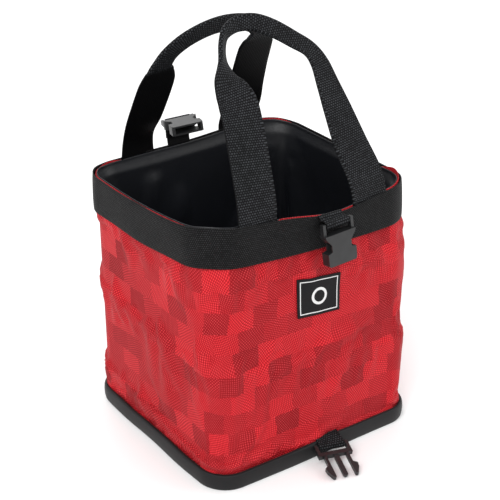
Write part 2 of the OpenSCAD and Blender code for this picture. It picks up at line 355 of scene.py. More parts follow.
def bevel(obj, width):
    m = obj.modifiers.new("bevel", "BEVEL")
    m.width = width
    m.segments = 3
    m.limit_method = "ANGLE"
    m.angle_limit = math.radians(35)


# ---- materials


class Nodes:
    """Short way to build a node material. Sockets that are the same all over are named at the start."""

    def __init__(self, name, **sockets):
        self.mat = bpy.data.materials.new(name)
        self.mat.use_nodes = True
        self.tree = self.mat.node_tree
        self.bsdf = self.tree.nodes["Principled BSDF"]
        self.fill(self.bsdf, **sockets)

    def add(self, kind, **props):
        node = self.tree.nodes.new(kind)
        for key, value in props.items():
            setattr(node, key, value)
        return node

    def link(self, a, b):
        self.tree.links.new(a, b)

    def put(self, socket, value):
        if hasattr(value, "is_output"):
            self.link(value, socket)
        else:
            socket.default_value = value

    def fill(self, node, **values):
        """Sets or links a node's inputs by name."""
        for key, value in values.items():
            self.put(node.inputs[key.replace("_", " ")], value)

    def math(self, op, a, b=0.0, c=0.0, clamp=False):
        node = self.add("ShaderNodeMath", operation=op, use_clamp=clamp)
        for socket, value in zip(node.inputs, (a, b, c)):
            self.put(socket, value)
        return node.outputs[0]

    def plus(self, a, b):
        return self.math("ADD", a, b)

    def minus(self, a, b):
        return self.math("SUBTRACT", a, b)

    def times(self, a, b):
        return self.math("MULTIPLY", a, b)

    def sine(self, value, pitch):
        return self.math("SINE", self.times(value, 2 * math.pi / pitch))

    def mix(self, factor, a, b):
        node = self.add("ShaderNodeMix", data_type="RGBA")
        self.put(node.inputs["Factor"], factor)
        self.put(node.inputs[6], a)
        self.put(node.inputs[7], b)
        return node.outputs[2]

    def uv(self):
        """u and v of the cloth, in metres."""
        node = self.add("ShaderNodeUVMap", uv_map="cloth")
        split = self.add("ShaderNodeSeparateXYZ")
        self.link(node.outputs[0], split.inputs[0])
        return split.outputs[0], split.outputs[1]

    def object_xyz(self):
        return self.add("ShaderNodeTexCoord").outputs["Object"]

    def vector(self, x, y, z=0.0):
        node = self.add("ShaderNodeCombineXYZ")
        for socket, value in zip(node.inputs, (x, y, z)):
            self.put(socket, value)
        return node.outputs[0]

    def noise(self, vector, scale, detail=3.0):
        node = self.add("ShaderNodeTexNoise")
        self.fill(node, Vector=vector, Scale=scale, Detail=detail, Roughness=0.55)
        return node.outputs["Fac"]

    def random(self, vector):
        node = self.add("ShaderNodeTexWhiteNoise", noise_dimensions="3D")
        self.fill(node, Vector=vector)
        return node.outputs["Value"]

    def ramp(self, value, low, high):
        node = self.add("ShaderNodeMapRange")
        self.put(node.inputs[0], value)
        node.inputs[1].default_value = low
        node.inputs[2].default_value = high
        return node.outputs[0]

    def colour(self, value):
        self.fill(self.bsdf, Base_Color=value)

    def rough(self, value):
        self.fill(self.bsdf, Roughness=value)

    def bump(self, height, distance, strength):
        node = self.add("ShaderNodeBump")
        self.fill(node, Strength=strength, Distance=distance, Height=height)
        self.fill(self.bsdf, Normal=node.outputs[0])


def check_cloth():
    """Red jacquard: cells of different twill, which catch the light differently."""
    m = Nodes(
        "red_check_cloth",
        Roughness=0.55,
        Specular_IOR_Level=0.11,
        Sheen_Weight=0.03,
        Sheen_Roughness=0.4,
        Sheen_Tint=(1.0, 0.3, 0.3, 1),
    )
    u, v = m.uv()
    # the cloth is never quite square: the weave wanders by a few millimetres
    drift_u = m.minus(m.noise(m.vector(u, v, 0.1), 17.0), 0.5)
    drift_v = m.minus(m.noise(m.vector(u, v, 0.7), 15.0), 0.5)
    u = m.plus(u, m.times(drift_u, 14 * MM))
    v = m.plus(v, m.times(drift_v, 11 * MM))
    cell_w, cell_h = 25 * MM, 19 * MM
    row = m.math("FLOOR", m.math("DIVIDE", v, cell_h))
    # each row starts about half a cell along from the last
    shift = m.plus(m.times(row, 0.5), m.times(m.random(m.vector(row, 3.0)), 0.4))
    across = m.plus(m.math("DIVIDE", u, cell_w), shift)
    col = m.math("FLOOR", across)
    parity = m.math("MODULO", m.math("ABSOLUTE", m.plus(row, col)), 2.0)
    tone = m.random(m.vector(col, row, 1.0))
    # neighbours differ: the parity sets the level and the random part varies it
    level = m.plus(m.times(parity, 0.3), m.times(tone, 0.7))
    kind = m.random(m.vector(col, row, 2.0))
    # each cell has its own twill: steep, leaning left or leaning right
    lean = m.minus(m.times(kind, 2.4), 1.0)
    length = m.math("SQRT", m.plus(m.times(lean, lean), 1.0))
    line = m.math("DIVIDE", m.plus(u, m.times(v, lean)), length)
    cross_line = m.math("DIVIDE", m.minus(v, m.times(u, lean)), length)
    wave = m.sine(line, 1.8 * MM)
    dots = m.sine(cross_line, 2.0 * MM)
    beat = m.noise(m.vector(u, v, 0.4), 90.0)
    weave = m.plus(m.times(wave, 0.28), m.times(m.times(dots, beat), 0.42))
    weave = m.plus(weave, 0.5)
    patchy = m.noise(m.object_xyz(), 14.0)
    base = m.mix(m.ramp(level, 0.12, 0.85), (0.225, 0.002, 0.005, 1), (0.6, 0.011, 0.018, 1))
    threads = m.mix(m.ramp(weave, 0.05, 0.8), (0.15, 0.0015, 0.004, 1), base)
    # painted highlight: the tops of the weave are lightened towards pale pink, as small glints of light
    painted_glint = m.mix(m.times(m.ramp(weave, 0.66, 1.0), 0.6), threads, (0.78, 0.105, 0.12, 1))
    m.colour(m.mix(m.times(m.ramp(patchy, 0.35, 0.75), 0.2), painted_glint, (0.58, 0.026, 0.034, 1)))
    m.rough(m.minus(0.68, m.times(level, 0.16)))
    m.bump(weave, 0.25 * MM, 0.6)
    return m.mat


def webbing(name, pitch_u, pitch_v, dark, light, depth, sided=False):
    """Plain-weave webbing: rows of pebbles, each row set half a pebble along from the last; the pebble
    tops are lightened as painted highlight.

    A sided webbing shows its weave only where the mesh's woven attribute is 1; elsewhere the painted
    highlight is left off, as painted shade.
    """
    m = Nodes(name, Roughness=0.5, Specular_IOR_Level=0.1)
    u, v = m.uv()
    row = m.math("FLOOR", m.math("DIVIDE", v, pitch_v))
    odd = m.math("MODULO", m.math("ABSOLUTE", row), 2.0)
    along = m.plus(m.math("DIVIDE", u, pitch_u), m.times(odd, 0.5))
    a = m.math("ABSOLUTE", m.sine(along, 2.0))
    b = m.math("ABSOLUTE", m.sine(v, 2 * pitch_v))
    pebble = m.math("POWER", m.times(a, b), 0.9)
    worn = m.noise(m.object_xyz(), 45.0)
    speck = m.random(m.vector(m.math("FLOOR", along), row))
    fibres = m.noise(m.vector(m.times(u, 900.0), m.times(v, 2600.0)), 1.0)
    height = m.plus(pebble, m.times(fibres, 0.15))
    # painted highlight: how far each pebble top is lightened; speck varies it from pebble to pebble and
    # worn in broad patches
    pebble_highlight = m.plus(m.times(speck, 0.8), m.times(worn, 0.9))
    tone = m.times(m.ramp(pebble, 0.3, 0.95), pebble_highlight)
    if sided:
        woven = m.add("ShaderNodeAttribute", attribute_name="woven").outputs["Fac"]
        # painted shade: on the inner side of a single layer the pebble tops are not lightened
        tone = m.times(tone, woven)
        height = m.times(height, m.plus(m.times(woven, 0.85), 0.15))
    m.colour(m.mix(m.math("MULTIPLY", tone, 1.0, clamp=True), dark, light))
    m.rough(m.minus(0.7, m.times(pebble, 0.25)))
    m.bump(height, depth, 0.9)
    return m.mat


def binding_tape():
    """Smooth woven tape, with fine ribs across it."""
    m = Nodes("black_binding", Roughness=0.5, Specular_IOR_Level=0.2, Sheen_Weight=0.03)
    u, _ = m.uv()
    ribs = m.sine(u, 1.1 * MM)
    soft = m.noise(m.object_xyz(), 24.0)
    tone = m.plus(m.times(ribs, 0.12), m.times(soft, 0.7))
    m.colour(m.mix(tone, (0.003, 0.003, 0.0034, 1), (0.014, 0.014, 0.015, 1)))
    m.bump(m.plus(m.times(ribs, 0.3), soft), 0.2 * MM, 0.7)
    return m.mat


def nylon():
    """Thin black nylon with a ripstop grid and a slight sheen."""
    m = Nodes(
        "black_nylon",
        Roughness=0.42,
        Specular_IOR_Level=0.35,
        Sheen_Weight=0.05,
        Sheen_Roughness=0.3,
        Sheen_Tint=(0.5, 0.6, 0.8, 1),
    )
    u, v = m.uv()
    fine_u = m.sine(u, 0.9 * MM)
    fine_v = m.sine(v, 0.9 * MM)
    weave = m.times(fine_u, fine_v)
    soft = m.noise(m.object_xyz(), 16.0)
    tone = m.plus(m.times(weave, 0.1), soft)
    m.colour(m.mix(tone, (0.0018, 0.002, 0.003, 1), (0.008, 0.009, 0.012, 1)))
    m.bump(m.plus(m.times(weave, 0.2), soft), 0.15 * MM, 0.6)
    return m.mat


def plastic(name, colour, roughness):
    """Satin moulded plastic with a faint grain and worn, lighter spots."""
    m = Nodes(name, Roughness=roughness)
    xyz = m.object_xyz()
    fine = m.noise(xyz, 1500.0, 2.0)
    wide = m.noise(xyz, 120.0, 3.0)
    lighter = tuple(min(1, c * 1.7 + 0.004) for c in colour[:3]) + (1,)
    m.colour(m.mix(m.times(m.ramp(wide, 0.4, 0.75), 0.6), colour, lighter))
    m.rough(m.plus(roughness, m.times(wide, 0.12)))
    m.bump(fine, 0.05 * MM, 0.5)
    return m.mat


def steel():
    m = Nodes("spring_steel", Roughness=0.35, Metallic=1.0)
    scratch = m.noise(m.object_xyz(), 800.0)
    m.colour(m.mix(scratch, (0.32, 0.32, 0.33, 1), (0.55, 0.55, 0.56, 1)))
    m.bump(scratch, 0.02 * MM, 0.4)
    return m.mat


def label_cloth():
    """Black woven patch, with a light border line and a plain ring in the middle."""
    m = Nodes("woven_label", Roughness=0.6, Specular_IOR_Level=0.12)
    u, v = m.uv()
    threads = m.sine(v, 0.7 * MM)
    inset_u = m.minus(LABEL_W / 2, m.math("ABSOLUTE", u))
    inset_v = m.minus(LABEL_H / 2, m.math("ABSOLUTE", v))
    inset = m.math("MINIMUM", inset_u, inset_v)
    border = m.math("COMPARE", inset, 3.0 * MM, 0.45 * MM)
    radius = m.math("SQRT", m.plus(m.times(u, u), m.times(v, v)))
    ring = m.math("COMPARE", radius, 7.0 * MM, 1.3 * MM)
    mark = m.math("MAXIMUM", border, ring)
    ground = m.mix(m.ramp(threads, -1.0, 1.0), (0.003, 0.003, 0.0035, 1), (0.011, 0.011, 0.0125, 1))
    thread = m.mix(m.ramp(threads, -1.0, 1.0), (0.5, 0.5, 0.5, 1), (0.8, 0.8, 0.8, 1))
    m.colour(m.mix(mark, ground, thread))
    m.bump(m.plus(m.times(threads, 0.5), mark), 0.12 * MM, 0.6)
    return m.mat


CLOTH = check_cloth()
# light is the colour of a fully lit pebble top, a painted highlight; dark is the webbing's own black
WEBBING = webbing(
    "black_webbing",
    pitch_u=2.4 * MM,
    pitch_v=2.0 * MM,
    dark=(0.0012, 0.0012, 0.0015, 1),
    light=(0.037, 0.0395, 0.0435, 1),
    depth=0.5 * MM,
    sided=True,
)
BAND = webbing(
    "band_webbing",
    pitch_u=1.9 * MM,
    pitch_v=1.7 * MM,
    dark=(0.0012, 0.0012, 0.0013, 1),
    light=(0.022, 0.022, 0.023, 1),
    depth=0.4 * MM,
)
TAPE = binding_tape()
NYLON = nylon()
BUCKLE = plastic("buckle_plastic", (0.0095, 0.0098, 0.0104, 1), 0.34)
VINYL = plastic("cap_vinyl", (0.02, 0.02, 0.02, 1), 0.5)
BOARD = plastic("stiff_board", (0.04, 0.04, 0.04, 1), 0.7)
STEEL = steel()
LABEL = label_cloth()


def paint(obj, material):
    obj.data.materials.clear()
    obj.data.materials.append(material)


def dress(obj, material, body=None, replaces=()):
    """Gives a piece its material and slot, and, unless it bends, the body that it rides on."""
    paint(obj, material)
    if body:
        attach(obj, body)
    if replaces:
        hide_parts(*replaces)


# ---- outer wall


def coil_wave(s, z):
    """1 on the spring's wire and -1 half way between turns, at s round the bag and z up it."""
    pitch = (SPRING_HIGH - SPRING_LOW) / SPRING_TURNS
    # the wire starts in the middle of the front and climbs clockwise
    low = SPRING_LOW + pitch * ((0.5 - s / GIRTH) % 1.0)
    return np.cos(2 * np.pi * (z - low) / pitch)


def crease(s, z, s0, z0, s1, z1, width):
    """Soft crease along a line from (s0, z0) to (s1, z1), in metres round and up the bag."""
    d = np.array([s1 - s0, z1 - z0])
    t = np.clip(((s - s0) * d[0] + (z - z0) * d[1]) / (d @ d), 0, 1)
    far = np.hypot(s - s0 - t * d[0], z - z0 - t * d[1])
    return hump(far, 0, width) * np.sin(np.pi * np.clip(t, 0.06, 0.94)) ** 0.5


def corner_place(index):
    """Where a corner's middle is, in metres round the rim."""
    straight = [FRONT_COLS // 2, SIDE_COLS, FRONT_COLS, SIDE_COLS]
    col = sum(straight[: index + 1]) + CORNER_COLS * index + CORNER_COLS // 2
    return RIM_S[col]


BACK_LEFT, NEAR, RIGHT, BACK_RIGHT = [corner_place(i) for i in range(4)]
FRONT_MID = (NEAR + RIGHT) / 2


def waves(s, z, count, seed, stretch=(1.0, 1.0)):
    """Smooth random waves that close round the bag. stretch packs them closer, round it and up it."""
    r = np.random.default_rng(seed)
    out = np.zeros_like(s)
    for _ in range(count):
        turns = r.integers(2, 14) * stretch[0]
        rise = r.uniform(-1, 1) * 60 * stretch[1]
        phase = r.uniform(0, 2 * np.pi)
        out += np.sin(2 * np.pi * round(turns) * s / GIRTH + rise * z + phase) / count**0.5
    return out


def spread(grid, zs):
    """Place round the bag and nominal height for each point of a grid."""
    return np.broadcast_to(RIM_S[:-1], grid.shape[:2]), np.broadcast_to(zs[:, None], grid.shape[:2])


def wall_grid():
    """The cloth as drawn: (grid, grid without folds, normals, row heights, freedom to move)."""
    zs = rows_between(WALL_LOW + 2 * MM, WALL_TOP, 2.6 * MM)
    rings, normals = zip(*[loft(WALL_GROW, z) for z in zs])
    grid, normal = np.array(rings), np.array(normals)
    s, z = spread(grid, zs)
    # fades to nothing where the cloth is sewn in, at the binding and behind the band
    free = np.clip((z - BINDING_TOP + 2 * MM) / (16 * MM), 0, 1)
    free = smoothed(free * np.clip((BAND_LOW + 3 * MM - z) / (14 * MM), 0, 1))
    corner = sum(hump(s, c, 26 * MM) for c in (BACK_LEFT, NEAR, RIGHT, BACK_RIGHT))
    coil = coil_wave(s, z)
    right = hump(s, RIGHT, 34 * MM)
    left = hump(s, BACK_LEFT, 30 * MM)
    # the cloth stands out over each turn of the wire, most at the corners
    out = coil * (1.1 + 1.9 * corner) * (1 - 0.75 * right) * MM
    out += right * 2.6 * MM
    out += left * 1.6 * MM * hump(z, 0.170, 0.030)
    out -= left * 1.8 * MM * hump(z, 0.075, 0.045)
    out += (np.maximum(coil, 0) ** 6) * 0.8 * MM
    out += waves(s, z, 9, 3) * 0.9 * MM
    out += waves(s, z, 12, 11, (2.4, 1.6)) * 0.45 * MM
    out += waves(s, z, 16, 17, (4.6, 3.4)) * 0.3 * MM
    # puckers under the band
    below = share_of(z, BAND_LOW - 52 * MM, 52 * MM) ** 2
    pucker = np.sin(2 * np.pi * s / (21 * MM) + 2.2 * np.sin(s / (47 * MM)) + (z - BAND_LOW) * 30)
    out += below * pucker * 0.9 * MM
    # creases that run down to the near corner and across the sides; width and height in mm
    for s0, z0, s1, z1, width, high in (
        (NEAR - 150 * MM, 0.150, NEAR - 104 * MM, 0.018, 7, 2.2),
        (NEAR - 88 * MM, 0.165, NEAR - 22 * MM, 0.020, 8, 2.4),
        (NEAR - 44 * MM, 0.190, NEAR - 4 * MM, 0.105, 8, 1.8),
        (NEAR + 8 * MM, 0.085, NEAR + 40 * MM, 0.150, 9, 1.6),
        (NEAR + 10 * MM, 0.020, NEAR + 62 * MM, 0.062, 7, 1.8),
        (NEAR + 70 * MM, 0.100, RIGHT - 18 * MM, 0.128, 8, 1.6),
        (RIGHT + 30 * MM, 0.160, RIGHT + 110 * MM, 0.060, 9, 2.0),
        (BACK_RIGHT + 30 * MM, 0.060, GIRTH - 20 * MM, 0.150, 9, 2.0),
    ):
        out += crease(s, z, s0, z0, s1, z1, width * MM) * (high * MM)
    # a bulge over the binding at the near corner
    out += np.exp(-(((s - NEAR) / (24 * MM)) ** 2 + ((z - 24 * MM) / (15 * MM)) ** 2)) * 3.2 * MM
    return grid + normal * (out * free)[:, :, None], grid, normal, zs, free


def within(grid, base, normal, low, high):
    """Keeps each point's distance out from the base surface between low and high."""
    off = np.einsum("ijk,ijk->ij", grid - base, normal)
    return grid + normal * (np.clip(off, low, high) - off)[:, :, None]


def settle(grid, hold, frames, grow, cap):
    """Cloth simulation of a tube of cloth, held where hold is 1, with grow more cloth than space.

    No point moves further than cap.
    """
    obj = new_object("settling", grid.reshape(-1, 3), ring_faces(*grid.shape[:2]))
    group = obj.vertex_groups.new(name="hold")
    for level in np.unique(np.round(hold, 2)):
        members = np.nonzero(np.round(hold.ravel(), 2) == level)[0]
        group.add([int(i) for i in members], float(level), "REPLACE")
    cloth = obj.modifiers.new("cloth", "CLOTH")
    setting = cloth.settings
    setting.quality = 6
    setting.mass = 0.15
    setting.vertex_group_mass = "hold"
    setting.tension_stiffness = 18
    setting.compression_stiffness = 18
    setting.shear_stiffness = 6
    setting.bending_stiffness = 0.35
    setting.shrink_min = -grow
    setting.effector_weights.gravity = 0.25
    cloth.point_cache.frame_start = 1
    cloth.point_cache.frame_end = frames
    scene = bpy.context.scene
    for f in range(1, frames + 1):
        scene.frame_set(f)
    graph = bpy.context.evaluated_depsgraph_get()
    mesh = obj.evaluated_get(graph).to_mesh()
    got = np.empty(len(mesh.vertices) * 3, np.float32)
    mesh.vertices.foreach_get("co", got)
    scene.frame_set(1)
    bpy.data.objects.remove(obj)
    moved = got.reshape(grid.shape) - grid
    size = np.linalg.norm(moved, axis=2)[:, :, None]
    return grid + moved * np.minimum(1, cap / np.maximum(size, 1e-9))


def build_wall():
    """The finished wall, its grid and its row heights."""
    grid, base, normal, zs, free = wall_grid()
    s, z = spread(grid, zs)
    on_wire = coil_wave(s, z) > 0.97
    # the patch is stiff, so the cloth behind it stays as it is
    patch = (np.abs(s - FRONT_MID) < 30 * MM) & (np.abs(z - LABEL_Z) < 27 * MM)
    hold = np.where((free < 0.02) | patch, 1.0, np.where(on_wire, 0.7, 0.0))
    grid = settle(grid, hold, frames=18, grow=0.04, cap=5.5 * MM)
    grid = within(grid, base, normal, low=-0.9 * MM, high=9 * MM)
    wall = tube_shell("outer_wall_cloth", grid, WALL_T, zs)
    dress(wall, CLOTH, replaces=["outer_wall"])
    return wall, grid, zs


WALL, WALL_GRID, WALL_ZS = build_wall()


def on_wall(s, z):
    """Place on the finished wall, s round the bag and z up it."""
    col = np.interp(s, RIM_S[:-1], np.arange(COLS))
    row = np.interp(z, WALL_ZS, np.arange(len(WALL_ZS)))
    c0, r0 = int(col), int(row)
    c1, r1 = (c0 + 1) % COLS, min(r0 + 1, len(WALL_ZS) - 1)
    fc, fr = col - c0, row - r0
    p = (WALL_GRID[r0, c0] * (1 - fc) + WALL_GRID[r0, c1] * fc) * (1 - fr)
    return p + (WALL_GRID[r1, c0] * (1 - fc) + WALL_GRID[r1, c1] * fc) * fr


def fold_with_rim(obj):
    """Bakes the transform of a soft piece into its mesh."""
    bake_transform(obj)


fold_with_rim(WALL)

# ---- lining


def lining_grid():
    """The lining as drawn, hanging in folds inside the wire: the same five values as wall_grid."""
    zs = np.r_[
        rows_between(FLOOR_TOP + 1 * MM, SPRING_HIGH - 4 * MM, 4.5 * MM),
        rows_between(SPRING_HIGH - 2 * MM, RIM_TOP - 0.6 * MM, 1.5 * MM),
    ]
    # over the spring's top turn the lining closes in on the wall, where both are sewn to the band
    rise = np.clip((zs - SPRING_HIGH - 1 * MM) / (zs[-1] - SPRING_HIGH - 3 * MM), 0, 1)
    grow = LINING_GROW + (WALL_GROW - 0.9 * MM - LINING_GROW) * rise * rise * (3 - 2 * rise)
    rings, normals = zip(*[loft(g, z) for g, z in zip(grow, zs)])
    base, normal = np.array(rings), np.array(normals)
    s, z = spread(base, zs)
    free = share_of(z, zs[0], 20 * MM) * np.clip((zs[-1] - 4 * MM - z) / (22 * MM), 0, 1)
    fold = 1.6 + waves(s, z, 7, 21) + 0.6 * waves(s, z, 9, 5, (2.0, 1.3))
    fold = np.clip(fold, 0, 4) * 1.9 * MM
    fold += (1 - coil_wave(s, z)) * 0.8 * MM
    return base - normal * (fold * free)[:, :, None], base, normal, zs, free


def build_lining():
    grid, base, normal, zs, free = lining_grid()
    hold = np.where(free < 0.02, 1.0, 0.0)
    grid = settle(grid, hold, frames=14, grow=0.02, cap=5 * MM)
    grid = within(grid, base, normal, low=-11 * MM, high=0.3 * MM)
    obj = tube_shell("wall_lining_cloth", grid, LINING_T, zs)
    dress(obj, NYLON, replaces=["wall_lining"])
    fold_with_rim(obj)


build_lining()


def floor_sheet(name, grow, z, thickness, rise):
    """Cloth panel in the shape of the foot, with slight waves of height rise."""
    ring, _ = loft(grow, WALL_LOW)
    ring = ring[:, :2]
    centre = ring.mean(0)
    steps = 26
    share = np.linspace(0, 1, steps + 1)[1:]
    pts = np.concatenate([[centre]] + [centre + (ring - centre) * t for t in share])
    lift = rise * (np.sin(pts[:, 0] * 70 + 1.2) * np.cos(pts[:, 1] * 55) + 1)
    edge = np.r_[0, np.repeat(share, COLS)]
    lift = lift * (1 - edge**6)
    top = np.c_[pts, z + thickness + lift]
    low = np.c_[pts, z + lift]
    n = len(pts)
    faces = []
    for c in range(COLS):
        q = (c + 1) % COLS
        faces += [(0, 1 + c, 1 + q), (n, n + 1 + q, n + 1 + c)]
        for k in range(steps - 1):
            a, b = 1 + k * COLS + c, 1 + k * COLS + q
            d, e = a + COLS, b + COLS
            faces += [(a, d, e, b), (n + a, n + b, n + e, n + d)]
        a, b = 1 + (steps - 1) * COLS + c, 1 + (steps - 1) * COLS + q
        faces.append((a, n + a, n + b, b))
    verts = np.concatenate([top, low])
    uvs = [tuple(verts[i][:2]) for f in faces for i in f]
    return new_object(name, verts, faces, uvs)


def build_floor():
    for node, grow, z, thickness, rise, held in (
        ("floor_lining", FLOOR_GROW, FLOOR_LOW, FLOOR_T, 0.9 * MM, "laid"),
        ("base_panel", PANEL_GROW, 0.05 * MM, PANEL_T, 0, "stretched"),
    ):
        obj = floor_sheet(node + "_cloth", grow, z, thickness, rise)
        dress(obj, NYLON, "base", [node])
        size = outline(FOOT, grow)[0]


build_floor()

# ---- band, hem and binding


def profile_ring(name, profile, place, u, v):
    """Ring from a closed (grow, height) profile. place(grow, height) gives a ring of points."""
    rings = np.array([place(g, h) for g, h in profile])
    faces = ring_faces(*rings.shape[:2], wrap=True)
    uvs = [corner for i in range(len(faces)) for corner in cell_uvs(u, v, i)]
    return new_object(name, rings.reshape(-1, 3), faces, uvs)


def rounded_profile(thickness, height, steps, radius):
    """Closed tall profile with rounded edges, outer face first, going up, and lengths along it."""
    half = thickness / 2
    r = min(radius, half)
    far, near = half + (half - r), half - (half - r)
    arc = np.radians([0, 30, 60, 90])
    outer = [(thickness, z) for z in np.linspace(r, height - r, steps)]
    top = [(far + r * math.cos(a), height - r + r * math.sin(a)) for a in arc[1:]]
    top += [(near - r * math.sin(a), height - r + r * math.cos(a)) for a in arc[1:]]
    inner = [(0, z) for z in np.linspace(height - r, r, steps)[1:]]
    base = [(near - r * math.cos(a), r - r * math.sin(a)) for a in arc[1:]]
    base += [(far + r * math.sin(a), r - r * math.cos(a)) for a in arc[1:-1]]
    pts = np.array(outer + top + inner + base)
    return pts, arc_length(pts)


def build_band():
    pts, v = rounded_profile(BAND_T, RIM_TOP - BAND_LOW, 13, 0.5 * MM)
    sway = waves(RIM_S[:-1], np.zeros(COLS), 6, 31) * 0.35 * MM

    def place(grow, height):
        ring, normal = loft(grow - BAND_T, BAND_LOW + height, rim_follow=1.0)
        lean = (height / (RIM_TOP - BAND_LOW) - 0.5) * 2
        flare = sway * lean - 0.5 * MM * abs(lean) ** 3
        return ring + normal * flare[:, None]

    obj = profile_ring("rim_band_webbing", pts, place, RIM_S, v)
    dress(obj, BAND, "rim", ["rim_band"])


def hem_rise(s):
    """How far the red hem stands above the band, round the rim."""
    front = share_of(s, NEAR + 62 * MM, 6 * MM) * np.clip((RIGHT + 6 * MM - s) / (10 * MM), 0, 1)
    corner = hump(s, RIGHT + 22 * MM, 20 * MM)
    back_left = hump(s, BACK_LEFT - 22 * MM, 20 * MM)
    right = hump(s, BACK_RIGHT + 8 * MM, 34 * MM)
    return -4 * MM + 4.2 * MM * front + 7 * MM * corner + 4.6 * MM * back_left + 4.6 * MM * right


def build_hem():
    pts, v = rounded_profile(HEM_T, HEM_DEPTH, 6, HEM_T / 2)
    rise = hem_rise(RIM_S[:-1])

    def place(grow, height):
        ring, _ = loft(grow + HEM_GROW, RIM_TOP - HEM_DEPTH + height, rim_follow=1.0)
        ring[:, 2] += rise * (height / HEM_DEPTH)
        return ring

    obj = profile_ring("rim_hem_fold", pts, place, RIM_S, v)
    dress(obj, CLOTH, "rim", ["rim_hem"])


def build_binding():
    tall = BINDING_TOP
    arc = np.linspace(0, 1, 15)
    bulge = np.sin(np.pi * arc) ** 0.55
    outer = np.c_[-1.3 * MM + 1.3 * MM * bulge, tall * arc]
    inner = np.c_[np.full(6, -3.6 * MM), np.linspace(tall, 0, 6)]
    pts = np.r_[outer, inner]
    s = RIM_S[:-1]
    wave = waves(s, np.zeros(COLS), 8, 41) * 0.5 * MM
    left = s - (BACK_LEFT + NEAR) / 2
    # it stands out in two waves along the left side, and a little at the front
    out = hump(left, 0, 72 * MM) * (2.2 - 1.0 * np.cos(left / (16 * MM))) * MM
    out += 1.6 * MM * hump(s, NEAR + 78 * MM, 50 * MM)

    def place(grow, height):
        ring = np.c_[FOOT_PTS + FOOT_NORMAL * grow, np.full(COLS, height)]
        share = height / tall
        ring[:, :2] += FOOT_NORMAL * (wave * share + out)[:, None]
        ring[:, 2] += np.abs(wave) * share * 1.2
        return ring

    obj = profile_ring("base_binding_tape", pts, place, RIM_S, arc_length(pts))
    dress(obj, TAPE, "base", ["base_binding"])


build_band()
build_hem()
build_binding()

# ---- handles


def plane_frame(side, lean):
    """Origin and axes of a handle's leaning plane: across, up the plane, and out of its outer face."""
    a = math.radians(lean)
    up = np.array([0, -side * math.sin(a), math.cos(a)])
    out = np.array([0, side * math.cos(a), math.sin(a)])
    origin = place_of("front_handle_fold" if side < 0 else "back_handle_fold")
    return origin, np.array([1.0, 0, 0]), up, out


def at_rim(side, x, drop, grow):
    """Place in a layer of the rim, at x on the front or the back and drop below the top edge."""
    ring, _ = loft(grow, RIM_TOP - drop, rim_follow=1.0)
    same = np.nonzero(ring[:, 1] * side > 0.8 * RIM["depth"] / 2)[0]
    xs, ys, zs = ring[same[np.argsort(ring[same, 0])]].T
    return np.array([x, np.interp(x, xs, ys), np.interp(x, xs, zs)])


def handle_piece(body, side, lean, feet, stations):
    """Handle in a leaning plane, with its feet, each (x, turn), sewn in behind the band.

    A station is (x, height, width, thickness, twist, bulge out of the plane), in millimetres
    and degrees.
    """
    origin, across, up, out = plane_frame(side, lean)
    table = np.array(stations, float)
    path = origin + np.outer(table[:, 0], across) * MM + np.outer(table[:, 1], up) * MM
    path = path + np.outer(table[:, 5], out) * MM
    rows = np.c_[path, table[:, 2:5]]
    left, right = [
        [
            [*at_rim(side, x * MM, drop * MM, WEB_GROW), HANDLE_W / MM, 1.4, turn]
            for drop, turn in ((26, 0), (14, 0), (1, bias))
        ]
        for x, bias in feet
    ]
    rows = smooth_path(np.r_[left, rows, right[::-1]])
    path, width, thick, twist = rows[:, :3], rows[:, 3] * MM, rows[:, 4] * MM, rows[:, 5]
    along = unit(np.gradient(path, axis=0))
    flat = unit(np.cross(along, out))
    # the feet stay level however the path runs
    index = np.arange(len(path))
    foot = np.clip(1.5 - np.minimum(index, index[::-1]) / 24, 0, 1)[:, None]
    flat = flat * (1 - foot) + across * np.sign(flat[:, :1]) * foot
    face = np.cross(flat, along)
    angle = np.radians(twist)[:, None]
    wide = flat * np.cos(angle) + face * np.sin(angle)
    obj = tape(body + "_webbing", path, wide, np.cross(wide, along), width, thick, across=14)
    dress(obj, WEBBING, replaces=[body, body + "_ends"])
    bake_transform(obj)


FRONT_STATIONS = [
    (-60, 12, 38.5, 1.4, 0, 0),
    (-56, 44, 38.5, 1.4, 0, 1.5),
    (-52.5, 76, 38.5, 1.5, 0, 2.5),
    (-51.8, 94, 38.5, 1.6, 0, 3),
    (-53, 105, 36, 2, -4, 2.5),
    (-53.8, 115, 31, 2.8, -12, 1.5),
    (-53, 124.5, 22, 3.6, -28, 0),
    (-51.5, 134, 15.5, 4.2, -44, -1),
    (-48, 145.5, 13.5, 4.2, -46, -1),
    (-41, 155.2, 13.5, 4.2, -40, -1),
    (-27, 160.3, 14.5, 4.2, -26, -1),
    (-11, 158.4, 15.2, 4.2, -18, 0),
    (6, 150, 16, 4.2, -10, 0),
    (22.5, 138, 16, 4.2, -2, 0),
    (34.5, 127.5, 16, 4, 2, 1),
    (40, 114, 19.5, 3.2, 2, 2),
    (42.2, 95, 24.5, 2.4, 2, 2),
    (44.6, 72, 30, 1.7, 0, 2),
    (48.5, 42, 36, 1.4, 0, 1),
    (54.5, 12, 38.5, 1.4, 0, 0),
]
